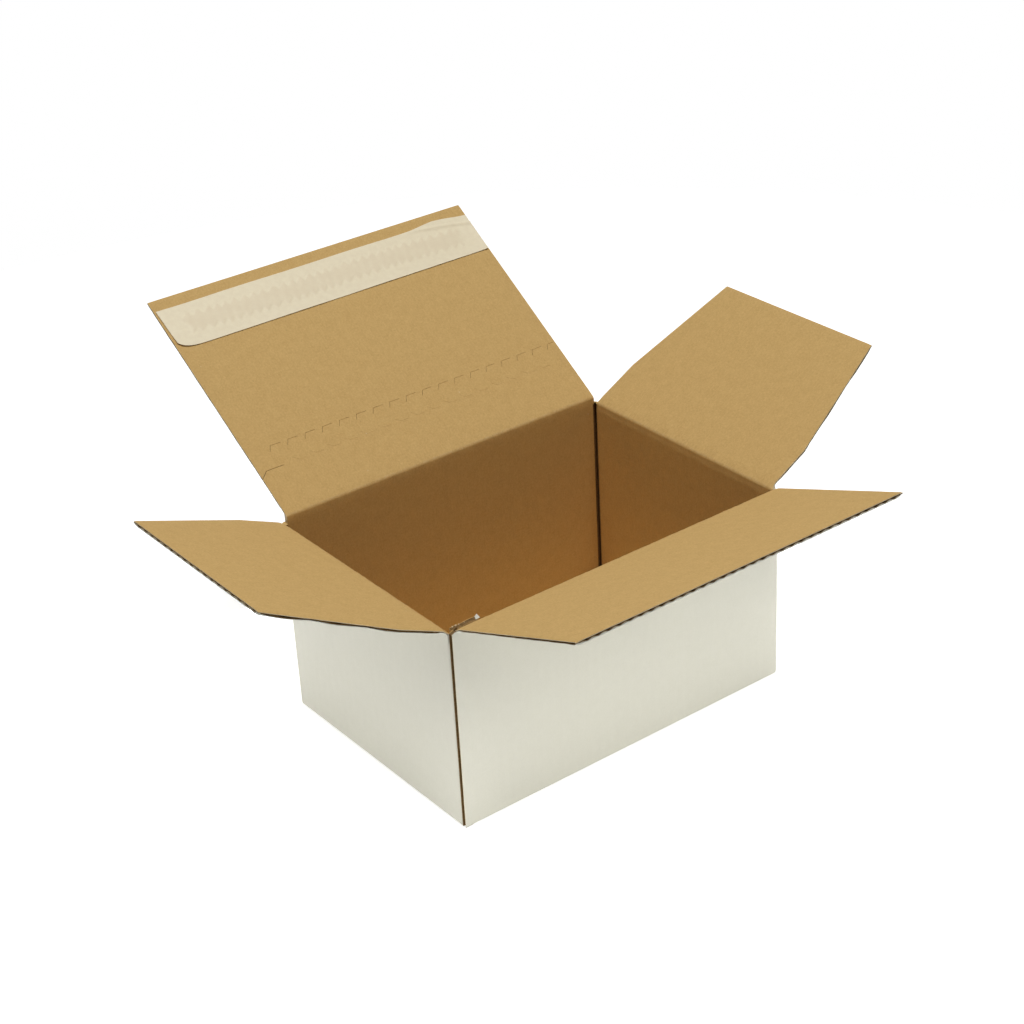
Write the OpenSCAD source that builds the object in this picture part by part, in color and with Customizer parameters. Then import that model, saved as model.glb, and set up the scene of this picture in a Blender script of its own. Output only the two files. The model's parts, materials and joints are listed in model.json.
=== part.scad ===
// Corrugated mailer box: white outside, kraft inside, glued side seam, self-locking bottom,
// full-cover lid with tear strip and self-seal strip, front flap and two end flaps.
// Lengths are millimetres. X runs along the long side, Y to the lid side, Z up from the table.
// The origin is the middle of the face the box rests on.

/* [Box] */
// Outside length of the box along its long side
box_l = 219; // [190:1:260]
// Outside depth of the box from the front wall to the lid wall
box_d = 155; // [140:1:180]
// Height of the end flaps' crease above the table
crease_h = 115; // [90:1:150]
// Thickness of the corrugated board
board_t = 2.7; // [2.4:0.1:3]
// Outside radius of the upright folds
fold_r = 2.4; // [1.6:0.1:2.8]
// Outside radius of the folds along the table
base_fold_r = 1.8; // [1.2:0.1:2.2]
// How far the end walls stop above the table
end_wall_lift = 0.4; // [0.2:0.1:0.8]
// Gap between an end wall and the large bottom panels
end_slot = 0.5; // [0.3:0.1:0.8]

/* [Corrugation] */
// Distance from one flute to the next
flute_pitch = 6.35; // [5.8:0.05:7]
// Thickness of each facing sheet
liner_t = 0.35; // [0.25:0.05:0.45]
// Thickness of the wavy sheet between the facings
medium_t = 0.3; // [0.2:0.05:0.35]
// Crushed length next to a crease or cut, past which the flutes are open
flute_start = 7; // [6:0.5:10]

/* [Creases] */
// Radius of the crushed bead each flap turns on
bead_r = 0.45; // [0.4:0.05:0.5]
// Clearance between a bead and its seat
seat_gap = 0.08; // [0.05:0.01:0.1]
// Depth of a crease line inside the outer face, for a crease next to that face
shallow_axis = 0.5; // [0.5:0.05:0.6]
// Clearance between closed end flaps and the closed front flap
stack_gap = 0.15; // [0.1:0.05:0.4]
// Clearance between the closed front flap and the closed lid, which takes the seal strip
seal_gap = 0.6; // [0.6:0.05:1]
// How far the end flap creases open toward the outer face
end_relief = 2.4; // [2.4:0.1:3]
// How far the front flap crease opens toward the outer face
front_relief = 3.2; // [3.2:0.1:3.6]
// How far the lid crease opens toward the outer face
lid_relief = 5; // [5:0.1:5.4]
// How far the lid crease opens toward the kraft face
lid_inner = 1.4; // [1.2:0.1:1.8]
// Length of the narrow root of the lid and of the front flap
root_run = 6; // [5:0.5:12]

/* [Lid] */
// How far the closed lid stops short of the front wall's outer face
lid_short = 0.5; // [0.3:0.1:2]
// Side inset of the lid at its crease
lid_root_in = 3.2; // [3:0.1:4]
// Side inset of the lid at its free edge
lid_free_in = 1.8; // [1:0.1:4]
// Angle of the open lid above level
lid_open = 33.7; // [10:0.1:60]

/* [Front flap] */
// Length of the front flap from its crease
front_len = 100.5; // [60:0.5:110]
// Side inset of the front flap at its crease
front_root_in = 3; // [3:0.1:4]
// Side inset of the front flap at its free edge
front_free_in = 4.9; // [3:0.1:8]
// Angle of the open front flap above level
front_open = 20.5; // [10:0.1:60]

/* [End flaps] */
// Length of the end flaps from their creases
end_len = 103; // [70:0.5:105]
// Distance from the crease to where the sides start to taper
end_bend = 31; // [20:0.5:40]
// Side inset next to the lid at the crease
end_back_root = 4; // [3:0.1:5]
// Side inset next to the lid where the taper starts
end_back_bend = 4.6; // [4:0.1:6]
// Side inset next to the lid at the free edge
end_back_free = 17.6; // [12:0.1:24]
// Side inset next to the front flap at the crease
end_front_root = 3; // [3:0.1:4]
// Side inset next to the front flap where the taper starts
end_front_bend = 3.3; // [3:0.1:5]
// Side inset next to the front flap at the free edge
end_front_free = 20; // [14:0.1:26]
// Angle of the open left end flap above level
left_open = 24.1; // [10:0.1:60]
// Angle of the open right end flap above level
right_open = 29.3; // [10:0.1:60]

/* [Glued side seam] */
// Width of the glue tab inside the front wall
tab_w = 20; // [15:0.5:30]
// Slope of the glue tab's ends
tab_slope = 4; // [2:0.5:6]
// Clearance of the glue tab above the bottom panels and under the closed left flap
tab_clear = 0.4; // [0.3:0.1:1]
// How far the front wall's cut edge stops short of the left wall's outer face
seam_in = 0.5; // [0.3:0.1:1]
// Radius of the left wall's fold into the glue tab
seam_r = 1.4; // [1:0.1:1.8]
// Depth of the open flute along the front wall's cut edge
seam_flute = 2.2; // [1:0.1:3]

/* [Bottom] */
// Gap along the seam between the two large bottom panels
bottom_gap = 0.6; // [0.4:0.1:1]
// How far each large panel reaches past the middle on its long side
bottom_hook = 9; // [6:0.5:12]
// Length along the box of the slanted part of that seam
hook_run = 12; // [8:0.5:16]
// Reach of the end walls' bottom panels into the box
minor_len = 68; // [50:1:72]
// Width of the end panels' inner edge
minor_tip = 22; // [16:1:30]
// Gap between an end panel and the long walls
minor_side = 2; // [1.8:0.1:3]
// Length of an end panel before its sides slant
minor_neck = 6; // [4:0.5:10]
// Distance from the outer faces to where a slanted crease starts
score_in = 5; // [4:0.5:8]
// How far a slanted crease stops short of the panel's edge
score_end = 5; // [3:0.5:10]
// Depth of the slanted creases in the large bottom panels
bottom_score = 0.5; // [0.3:0.1:0.7]

/* [Tear strip] */
// Distance from the lid crease to the near row of cuts
strip_near = 29; // [24:0.5:30]
// Width of the strip between the two rows of cuts
strip_w = 13.6; // [12:0.1:15]
// Distance from one cut to the next
cut_pitch = 11.33; // [11:0.01:11.4]
// Length of the straight part of a cut
cut_len = 6.4; // [5:0.1:7]
// Width of the cuts
cut_w = 0.4; // [0.3:0.05:0.6]
// Distance from the box's side to the bend of the first far cut
far_cut_in = 17.8; // [17:0.1:20]
// Length along the lid's crease of a far cut's hook
far_hook_x = 2; // [1.5:0.1:3]
// Depth of a far cut's hook
far_hook_y = 3.4; // [3:0.1:4]
// Distance from the box's side to the tip of the first near cut's hook
near_cut_in = 25.4; // [25:0.1:27]
// Length along the lid's crease of a near cut's hook
near_hook_x = 3; // [2:0.1:3.4]
// Depth of a near cut's hook
near_hook_y = 2.6; // [2:0.1:3.2]
// Length of the straight part of a near cut
near_cut_len = 5.1; // [4:0.1:5.5]
// Distance from the box's side to the bend of the cut where the strip is gripped
grip_bend = 7.4; // [6:0.1:9]
// Distance from the box's side to the end of that cut
grip_end = 18.6; // [17:0.1:21]
// How much nearer the crease that cut starts
grip_drop = 6.2; // [5:0.1:7]

/* [Self-seal strip] */
// Distance from the lid's free edge to the cover tape
tape_in = 7.5; // [5:0.5:10]
// Width of the cover tape
tape_w = 28.2; // [26:0.1:32]
// Thickness of the cover tape
tape_t = 0.12; // [0.08:0.01:0.15]
// Thickness of the adhesive
glue_t = 0.16; // [0.1:0.01:0.2]
// Length of the adhesive band
glue_l = 192; // [150:1:196]
// Half width of the adhesive band's full core
glue_core = 4.4; // [3:0.1:5]
// Half width of the adhesive band at the tips of its loops
glue_tip = 6.8; // [6:0.1:8]
// Distance from one adhesive loop to the next
glue_pitch = 6.2; // [5:0.1:8]
// How far the adhesive lies from the tape's middle toward the lid's free edge
glue_off = 0.3; // [-1:0.1:1]
// Side inset of the cover tape
tape_side = 2.9; // [2.5:0.1:4]
// Depth of the tape's curled corner
tape_curl = 4.6; // [3:0.1:6]
// Height of the tape's uneven edge next to the free edge
tape_wave = 1.5; // [0.5:0.1:2]

/* [View] */
// Sub-part to draw

/* [Hidden] */
round_fn = 48;
hx = box_l / 2;
hy = box_d / 2;
t = board_t;
mid = t / 2;
end_axis = shallow_axis;
front_axis = mid;
lid_axis = t - shallow_axis;
end_z = crease_h;
front_z = end_z + end_axis + stack_gap + t - front_axis;
lid_z = front_z + front_axis + seal_gap + t - lid_axis;
// the inner side of each crease opens a little more than a right angle
inner_relief = 1.08;
end_inner = (t - end_axis) * inner_relief;
front_inner = (t - front_axis) * inner_relief;
lid_len = box_d - lid_axis - lid_short;
join = 0.1;
ring_z = end_z - end_relief - 1.6;
column_z = end_z + 0.3;
tab_foot = 2 * t + tab_clear;
tab_top = end_z - (t - end_axis) - tab_clear;
slot_w = box_d - 2 * t - 2 * minor_side + 1;
minor_y = hy - t - minor_side;
lid_flute_start = strip_near + strip_w + flute_start;
kraft = [0.75, 0.63, 0.40];
paper = [0.89, 0.84, 0.74];
resin = [0.84, 0.79, 0.70];

// plates and outlines

module outer_outline() {
  difference() {
    union() {
      square([box_l - 2 * fold_r, box_d], center = true);
      square([box_l, box_d - 2 * fold_r], center = true);
      for (sx = [-1, 1]) for (sy = [-1, 1])
        translate([sx * (hx - fold_r), sy * (hy - fold_r)]) circle(r = fold_r, $fn = round_fn);
    }
    // front left corner: the front wall ends in a cut edge, the left wall folds into the tab
    translate([-hx - 5, -hy - 5]) square([5 + seam_in, 5 + t]);
    difference() {
      translate([-hx - 1, -hy + t - 1]) square([1 + seam_r, 1 + seam_r]);
      translate([-hx + seam_r, -hy + t + seam_r]) circle(r = seam_r, $fn = round_fn);
      translate([-hx + seam_in, -hy + t - 2]) square([seam_r, 2]);
    }
    // open flute between the facings of the cut edge
    translate([-hx - 1, -hy + liner_t]) square([1 + seam_in + seam_flute, t - 2 * liner_t]);
  }
}

module rounded_foot(w, h, r, lift) {
  translate([-w / 2, r + lift]) square([w, h - r - lift]);
  translate([-w / 2 + r, lift]) square([w - 2 * r, r + 1]);
  for (s = [-1, 1]) translate([s * (w / 2 - r), r + lift]) circle(r = r, $fn = round_fn);
}

module shell_block(h) {
  intersection() {
    linear_extrude(height = h) outer_outline();
    rotate([90, 0, 90]) translate([0, 0, -hx - 1]) linear_extrude(height = box_l + 2)
      rounded_foot(box_d, h, base_fold_r, 0);
    rotate([90, 0, 0]) translate([0, 0, -hy - 1]) linear_extrude(height = box_d + 2)
      rounded_foot(box_l, h, base_fold_r, 0);
  }
}

// top of a wall: pointed crease with a seat for the flap's bead
// local x runs along the wall, local y points out of the box, local z up, axis on the x line
// it reaches into the ring below it and into the corner columns, so that they are one board
module wall_top(space, axis_in, inner, relief, height) {
  len = space + 2 * join;
  foot = -height - join;
  difference() {
    rotate([90, 0, 90]) translate([0, 0, -len / 2]) linear_extrude(height = len)
      polygon([[0, 0], [axis_in, -relief], [axis_in, foot], [axis_in - t, foot],
        [axis_in - t, -inner]]);
    rotate([0, 90, 0]) translate([0, 0, -len / 2 - 1])
      cylinder(r = bead_r + seat_gap, h = len + 2, $fn = round_fn);
  }
}

module corner_columns() {
  translate([0, 0, ring_z - join]) linear_extrude(height = column_z - ring_z + join)
    intersection() {
      outer_outline();
      for (sx = [-1, 1]) for (sy = [-1, 1])
        translate([sx * (hx - mid), sy * (hy - mid)]) square(t, center = true);
    }
}

// bottom panels

module bottom_seam() {
  g = bottom_gap / 2;
  e = hx - t;
  h = bottom_hook;
  r = hook_run / 2;
  translate([0, 0, -1]) linear_extrude(height = 1 + t)
    polygon([[-e, h - g], [-r - g, h - g], [r - g, -h - g], [e, -h - g],
      [e, g - h], [r + g, g - h], [g - r, h + g], [-e, h + g]]);
}

module bottom_scores() {
  d = bottom_score;
  for (s = [0, 180]) rotate([0, 0, s]) translate([score_in - hx, score_in - hy, 0])
    rotate([90, 0, 135]) linear_extrude(height = (hy + bottom_hook - score_in) * sqrt(2) - score_end)
      polygon([[-1.3 * d, -0.01], [1.3 * d, -0.01], [0, d]]);
}

module end_wall_slots() {
  for (s = [-1, 1]) {
    translate([s * (hx - t - end_slot / 2), 0, t / 2 - 0.5])
      cube([end_slot, slot_w, t + 1], center = true);
    translate([s * (hx - t / 2 + 1), 0, end_wall_lift / 2 - 1])
      cube([t + 2, slot_w, end_wall_lift + 2], center = true);
  }
}

module minor_panel() {
  // the left end wall's panel, with slanted sides
  translate([0, 0, t]) linear_extrude(height = t)
    polygon([[-hx + t - 1, -minor_y], [-hx + t - 1, minor_y], [-hx + t + minor_neck, minor_y],
      [-hx + minor_len, minor_tip / 2], [-hx + minor_len, -minor_tip / 2],
      [-hx + t + minor_neck, -minor_y]]);
}

module glue_tab() {
  rotate([90, 0, 0]) translate([0, 0, hy - 2 * t]) linear_extrude(height = t)
    polygon([[-hx + t - 1, tab_foot], [-hx + t - 1, tab_top], [-hx + t, tab_top],
      [-hx + tab_w, tab_top - tab_slope], [-hx + tab_w, tab_foot + tab_slope],
      [-hx + t, tab_foot]]);
}

module carton_body() {
  color(kraft) {
    difference() {
      shell_block(ring_z);
      translate([-hx + t, -hy + t, t]) cube([box_l - 2 * t, box_d - 2 * t, ring_z]);
      bottom_seam();
      bottom_scores();
      end_wall_slots();
    }
    corner_columns();
    minor_panel();
    rotate([0, 0, 180]) minor_panel();
    glue_tab();
    translate([0, hy - lid_axis, lid_z])
      wall_top(box_l - 2 * t, lid_axis, lid_inner, lid_relief, lid_z - ring_z);
    translate([0, -hy + front_axis, front_z]) rotate([0, 0, 180])
      wall_top(box_l - 2 * t, front_axis, front_inner, front_relief, front_z - ring_z);
    translate([hx - end_axis, 0, end_z]) rotate([0, 0, -90])
      wall_top(box_d - 2 * t, end_axis, end_inner, end_relief, end_z - ring_z);
    translate([-hx + end_axis, 0, end_z]) rotate([0, 0, 90])
      wall_top(box_d - 2 * t, end_axis, end_inner, end_relief, end_z - ring_z);
  }
}

// flaps: local x along the crease, local y away from it, local z to the kraft face

module flap_section(w, len, axis_in, inner, relief) {
  rotate([90, 0, 90]) translate([0, 0, -w / 2]) linear_extrude(height = w)
    polygon([[0, 0], [relief, -axis_in], [len, -axis_in], [len, t - axis_in],
      [inner, t - axis_in]]);
}

// open flutes between the facings: one hollow each side of the wavy sheet per pitch
module flutes(w, from, to) {
  a = mid - liner_t - medium_t / 2;
  lo = liner_t - mid;
  n = floor(w / flute_pitch / 2) + 1;
  rotate([90, 0, 180]) translate([0, 0, from]) linear_extrude(height = to - from)
    for (i = [-n:n]) {
      translate([i * flute_pitch, 0]) flute_hollow(a, lo);
      translate([(i + 0.5) * flute_pitch, 0]) scale([1, -1]) flute_hollow(a, lo);
    }
}

module flute_hollow(a, lo) {
  p = flute_pitch;
  polygon([[-0.42 * p, lo], [0.42 * p, lo], [0.25 * p, -medium_t * 0.66],
    [0.1 * p, 0.81 * a - medium_t * 0.55], [-0.1 * p, 0.81 * a - medium_t * 0.55],
    [-0.25 * p, -medium_t * 0.66]]);
}

module flap(w, len, axis_in, inner, relief, outline, start) {
  difference() {
    intersection() {
      flap_section(w, len, axis_in, inner, relief);
      translate([0, 0, -axis_in - 1]) linear_extrude(height = t + 2) polygon(outline);
    }
    translate([0, 0, mid - axis_in]) flutes(w, start, len + 1);
  }
}

module bead(x0, x1) {
  translate([x0, 0, 0]) rotate([0, 90, 0]) cylinder(r = bead_r, h = x1 - x0, $fn = round_fn);
}

module place_lid() {
  translate([0, hy - lid_axis, lid_z]) rotate([lid_open, 0, 0]) children();
}

// a bent cut: p to q to r, w wide
function unit(v) = v / norm(v);
function left_of(v) = [-v[1], v[0]];
module bent_cut(p, q, r, w) {
  n1 = left_of(unit(q - p)) * w / 2;
  n2 = left_of(unit(r - q)) * w / 2;
  m = unit(n1 + n2) * w / 2;
  polygon([p - n1, q - m, r - n2, r + n2, q + m, p + n1]);
}

module tear_cuts() {
  near = strip_near;
  far = near + strip_w;
  room = box_l - lid_root_in;
  translate([-hx, 0, -lid_axis - 1]) linear_extrude(height = t + 2) {
    for (x = [far_cut_in:cut_pitch:room - cut_len])
      bent_cut([x - far_hook_x, far - far_hook_y], [x, far], [x + cut_len, far], cut_w);
    for (x = [near_cut_in:cut_pitch:room - near_hook_x - near_cut_len - 1])
      bent_cut([x, near + near_hook_y], [x + near_hook_x, near],
        [x + near_hook_x + near_cut_len, near], cut_w);
    bent_cut([0, near - grip_drop], [grip_bend, near], [grip_end, near], cut_w);
  }
}

module lid_flap() {
  rx = hx - lid_root_in;
  fx = hx - lid_free_in;
  color(kraft) place_lid() {
    difference() {
      flap(box_l, lid_len, lid_axis, lid_inner, lid_relief,
        [[-rx, -1], [rx, -1], [rx, root_run], [fx, lid_len], [-fx, lid_len], [-rx, root_run]],
        lid_flute_start);
      tear_cuts();
    }
    bead(-rx, rx);
  }
}

module front_flap() {
  rx = hx - front_root_in;
  fx = hx - front_free_in;
  color(kraft) translate([0, -hy + front_axis, front_z]) rotate([0, 0, 180])
    rotate([front_open, 0, 0]) {
      flap(box_l, front_len, front_axis, front_inner, front_relief,
        [[-rx, -1], [rx, -1], [rx, root_run], [fx, front_len], [-fx, front_len],
          [-rx, root_run]], flute_start);
      bead(-rx, rx);
    }
}

// outline of an end flap; s = 1 puts the lid side at positive x, s = -1 at negative x
function end_outline(s) = [
  [-s * (hy - end_front_root), -1], [s * (hy - end_back_root), -1],
  [s * (hy - end_back_bend), end_bend], [s * (hy - end_back_free), end_len],
  [-s * (hy - end_front_free), end_len], [-s * (hy - end_front_bend), end_bend]];

module end_flap(s, angle) {
  rotate([angle, 0, 0]) {
    flap(box_d, end_len, end_axis, end_inner, end_relief, end_outline(s), flute_start);
    bead(s > 0 ? -hy + end_front_root : -hy + end_back_root,
      s > 0 ? hy - end_back_root : hy - end_front_root);
  }
}

module left_end_flap() {
  color(kraft) translate([-hx + end_axis, 0, end_z]) rotate([0, 0, 90]) end_flap(1, left_open);
}

module right_end_flap() {
  color(kraft) translate([hx - end_axis, 0, end_z]) rotate([0, 0, -90]) end_flap(-1, right_open);
}

// self-seal strip on the lid's kraft face

module adhesive_strip() {
  mid_v = lid_len - tape_in - tape_w / 2 + glue_off;
  n = floor(glue_l / glue_pitch);
  l = n * glue_pitch;
  top = [for (i = [0:n - 1]) each [
    [-l / 2 + i * glue_pitch, glue_core], [-l / 2 + (i + 0.3) * glue_pitch, glue_tip],
    [-l / 2 + (i + 0.65) * glue_pitch, glue_tip - 0.4]]];
  low = [for (i = [0:n - 1]) each [
    [l / 2 - i * glue_pitch, -glue_core], [l / 2 - (i + 0.3) * glue_pitch, -glue_tip],
    [l / 2 - (i + 0.65) * glue_pitch, -glue_tip + 0.4]]];
  color(resin) place_lid() translate([0, mid_v, t - lid_axis]) linear_extrude(height = glue_t)
    polygon(concat(top, [[l / 2, glue_core]], low, [[-l / 2, -glue_core]]));
}

module release_liner() {
  e1 = lid_len - tape_in;
  e0 = e1 - tape_w;
  s = hx - tape_side;
  c = tape_curl;
  color(paper) place_lid() translate([0, 0, t - lid_axis + glue_t]) linear_extrude(height = tape_t)
    polygon([[-s, e1], [-s + c / 4, e0 + c], [-s + c / 2, e0 + c * 0.6], [-s + c * 2, e0 + c / 4],
      [-s + c * 6, e0], [s - 0.3, e0], [s, e1 - tape_wave], [s - 16, e1 + tape_wave * 0.6],
      [s - 23, e1 + tape_wave], [s - 40, e1]]);
}

carton_body();
lid_flap();
front_flap();
left_end_flap();
right_end_flap();
adhesive_strip();
release_liner();
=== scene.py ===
"""Looks of the corrugated mailer box: white-top kraft board with open flutes, soft creases,
a tear strip and a self-seal strip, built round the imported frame. Lengths are metres."""

import json
import math

import bmesh
import bpy
import numpy as np
from mathutils import Matrix, Vector


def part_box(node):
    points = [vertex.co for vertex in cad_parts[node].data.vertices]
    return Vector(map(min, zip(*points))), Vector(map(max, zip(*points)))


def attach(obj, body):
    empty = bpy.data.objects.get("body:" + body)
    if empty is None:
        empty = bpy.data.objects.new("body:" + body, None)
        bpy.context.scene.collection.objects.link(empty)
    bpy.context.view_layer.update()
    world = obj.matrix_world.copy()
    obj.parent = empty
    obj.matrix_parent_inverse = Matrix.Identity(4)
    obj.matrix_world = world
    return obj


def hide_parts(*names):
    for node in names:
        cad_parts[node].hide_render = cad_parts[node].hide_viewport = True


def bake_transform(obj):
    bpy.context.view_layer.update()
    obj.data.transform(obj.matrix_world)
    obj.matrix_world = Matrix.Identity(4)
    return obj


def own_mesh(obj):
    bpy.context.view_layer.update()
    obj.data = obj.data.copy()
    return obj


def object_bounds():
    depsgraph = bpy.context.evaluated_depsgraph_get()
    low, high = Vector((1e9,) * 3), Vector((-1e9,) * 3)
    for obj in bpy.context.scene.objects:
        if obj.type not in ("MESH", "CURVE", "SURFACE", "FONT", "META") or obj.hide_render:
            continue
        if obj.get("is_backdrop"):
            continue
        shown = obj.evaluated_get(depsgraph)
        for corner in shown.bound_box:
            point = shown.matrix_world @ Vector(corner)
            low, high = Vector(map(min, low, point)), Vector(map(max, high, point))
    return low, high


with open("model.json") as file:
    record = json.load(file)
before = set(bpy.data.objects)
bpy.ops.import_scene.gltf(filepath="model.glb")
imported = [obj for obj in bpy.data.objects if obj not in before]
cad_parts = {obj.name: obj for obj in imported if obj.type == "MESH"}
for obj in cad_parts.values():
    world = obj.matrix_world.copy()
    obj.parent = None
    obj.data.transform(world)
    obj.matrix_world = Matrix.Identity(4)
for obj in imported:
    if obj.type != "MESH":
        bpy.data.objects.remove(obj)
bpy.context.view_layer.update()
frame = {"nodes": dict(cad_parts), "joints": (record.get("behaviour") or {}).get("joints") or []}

MM = 0.001
UP = np.array([0.0, 0.0, 1.0])

# Board
BOARD = 2.7 * MM
LINER = 0.35 * MM
MEDIUM = 0.26 * MM
PITCH = 6.35 * MM

# A die-cut side is pressed thin: how far in, and by how much on the kraft face and at its root
SIDE_RUN = 1.5 * MM
SIDE_KRAFT = 0.2 * MM
ROOT_PRESS = 1.45 * MM

# Along the free edge the white face is pressed too, most where the medium touches the kraft
# liner, and the liners' cut edges swell
FREE_RUN = 1.0 * MM
FREE_KRAFT = 0.1 * MM
FREE_WHITE = 0.85 * MM
FREE_PINCH = 0.25 * MM
FREE_SWELL = 0.05 * MM

# How far a crease is crushed on the kraft face to either side of its line, and how soon the right
# flap's front side draws in from its root
CRUSH_RUN = 2.4 * MM
FLARE_RUN = 1.5 * MM

# The white liner turns round a crease almost sharply. The kraft one's radius is in CUTS
WHITE_R = 0.5 * MM

# Box
HALF_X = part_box("carton_body")[1].x
HALF_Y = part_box("carton_body")[1].y
FOLD_R = 2.4 * MM
BASE_R = 1.8 * MM
END_LIFT = 0.4 * MM
SEAM_IN = 0.5 * MM
SEAM_R = 1.4 * MM
SEAM_FOOT = 0.5 * MM
SEAM_FLUTE = 5 * MM
SEAM_CREST = (2.4 * MM, 0.55 * BOARD)
JOIN_DROP = 4.5 * MM
CORNER_TOP = 115.3 * MM
TOUCH = 0.02 * MM

# Glue tab, and the upper edge that stands above it
TAB_WIDTH = 20 * MM
TAB_FOOT = 5.8 * MM
TAB_TOP = 112.4 * MM
TAB_SLOPE = 4 * MM
RIM_WIDTH = 18.6 * MM
RIM_TOP = 117 * MM
FIBRES = [(1.4, 0.8, 0.5), (3.2, 1.1, 0.6), (5.3, 0.7, 0.35), (8.6, 0.5, 0.3)]

# The crevice inside each folded corner (x side, y side): how wide it opens and how deep it is.
# The one at the seam is in the tab's fold
CREVICES = {
    (1, -1): (0.8 * MM, 0.8 * MM), (1, 1): (1.55 * MM, 1.8 * MM), (-1, 1): (0.5 * MM, 0.4 * MM),
}
SEAM_CREVICE = (1.4 * MM, 0.8 * MM)

# Bottom panels
HOOK = 9 * MM
HOOK_RUN = 12 * MM
BOTTOM_GAP = 0.6 * MM
MINOR_REACH = 68 * MM
MINOR_TIP = 22 * MM
MINOR_SIDE = 2 * MM
MINOR_NECK = 6 * MM

# Tear strip: two rows of bent cuts across the lid, in millimetres from the lid's left end and
# from its crease, as in the part's source
CUT_PITCH = 11.33
FAR_ROW = dict(start=17.8, v=42.6, hook=(-2, -3.4), length=6.4, count=18, width=0.2)
NEAR_ROW = dict(start=28.4, v=29, hook=(-3, 2.6), length=5.1, count=16, width=0.08)
GRIP_CUT = [(0, 22.8), (7.4, 29), (18.6, 29)]
GRIP_WIDTH = 0.28

# Self-seal strip: the tape's edges, how it lifts off the lid, and the hot melt under it
TAPE_NEAR = 116.6 * MM
TAPE_FAR = 144.8 * MM
TAPE_HALF = 106.6 * MM
TAPE_CURL = 4.6 * MM
TAPE_THICK = 0.12 * MM
TAPE_GAP = 0.27 * MM
TAPE_WAVE = 0.05 * MM
CORNER_LIFT = 0.6 * MM
NEAR_LIFT = 0.14 * MM
RIGHT_LIFT = 0.45 * MM
RIGHT_START = 97 * MM
RIDGE_START = 60 * MM
RIDGE_DEPTH = 6.5 * MM
RIDGE_HEIGHT = 0.55 * MM
BEYOND_RIDGE = 0.35 * MM
GLUE_MID = 131 * MM
GLUE_THICK = 0.16 * MM
GLUE_CORE = 4.4 * MM
GLUE_TIP = 6.8 * MM
GLUE_PITCH = 6.2 * MM
GLUE_END = 95.5 * MM

# The photograph's view, from a fit to the box's corners: place, then azimuth, elevation and roll
VIEW_PLACE = (-611.21, -819.12, 669.6)
VIEW_ANGLES = (-36.171, 28.563, -3.198)
SENSOR = 36
LENS = 76.29

# Floor and light
FLOOR_R = 0.8
FLOOR_SIDES = 96
FLOOR_GLOW = 0.7
WORLD_LIGHT = 0.03

# Material slots of every board mesh
KRAFT, WHITE, CORE, EDGE = range(4)

# How each flap is cut, in millimetres. sides are rows of distance from the crease and inset of the
# near and of the far side, where the crease line runs from near (-) to far (+). press is how far a
# side's white face is pressed where a flute is open and where it is shut, closed says at which ends
# the cut through the crushed crease shows no opening, and seed sets the dents in the crease
CUTS = {
    "lid_fold": dict(
        node="lid_flap", body="lid", out=(0, 1, 0), length=152.3, seed=0.4,
        sides=[(0, 3.2, 3.2), (152.3, 1.8, 1.8)],
        kraft_r=2.6, bow=0.3, press=(1.4, 1.6), crush=0.2, closed=(True, True),
    ),
    "front_fold": dict(
        node="front_flap", body="front", out=(0, -1, 0), length=99.9, seed=2.2,
        sides=[(0, 3, 3), (99.9, 4.9, 4.9)],
        kraft_r=2.2, bow=0.3, press=(1.15, 1.45), crush=1.1, closed=(False, True),
    ),
    "left_end_fold": dict(
        node="left_end_flap", body="left_end", out=(-1, 0, 0), length=102.3, seed=3.7,
        sides=[(0, 3, 4), (31, 3.3, 4.6), (102.3, 20, 17.6)],
        kraft_r=2.4, bow=0.3, press=(0.65, 1.4), crush=1.7, closed=(False, True),
    ),
    "right_end_fold": dict(
        node="right_end_flap", body="right_end", out=(1, 0, 0), length=103, seed=5.1,
        sides=[(0, 4, 5.2), (27.6, 4.53, 5.2), (31, 4.6, 5.86), (103, 17.6, 20)],
        kraft_r=2.4, bow=0.3, press=(1.1, 1.65), crush=0.4, closed=(True, True), flare=2.2,
    ),
}


# Mesh helpers

def new_object(name, data):
    made = bpy.data.objects.new(name, data)
    bpy.context.scene.collection.objects.link(made)
    return made


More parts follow.
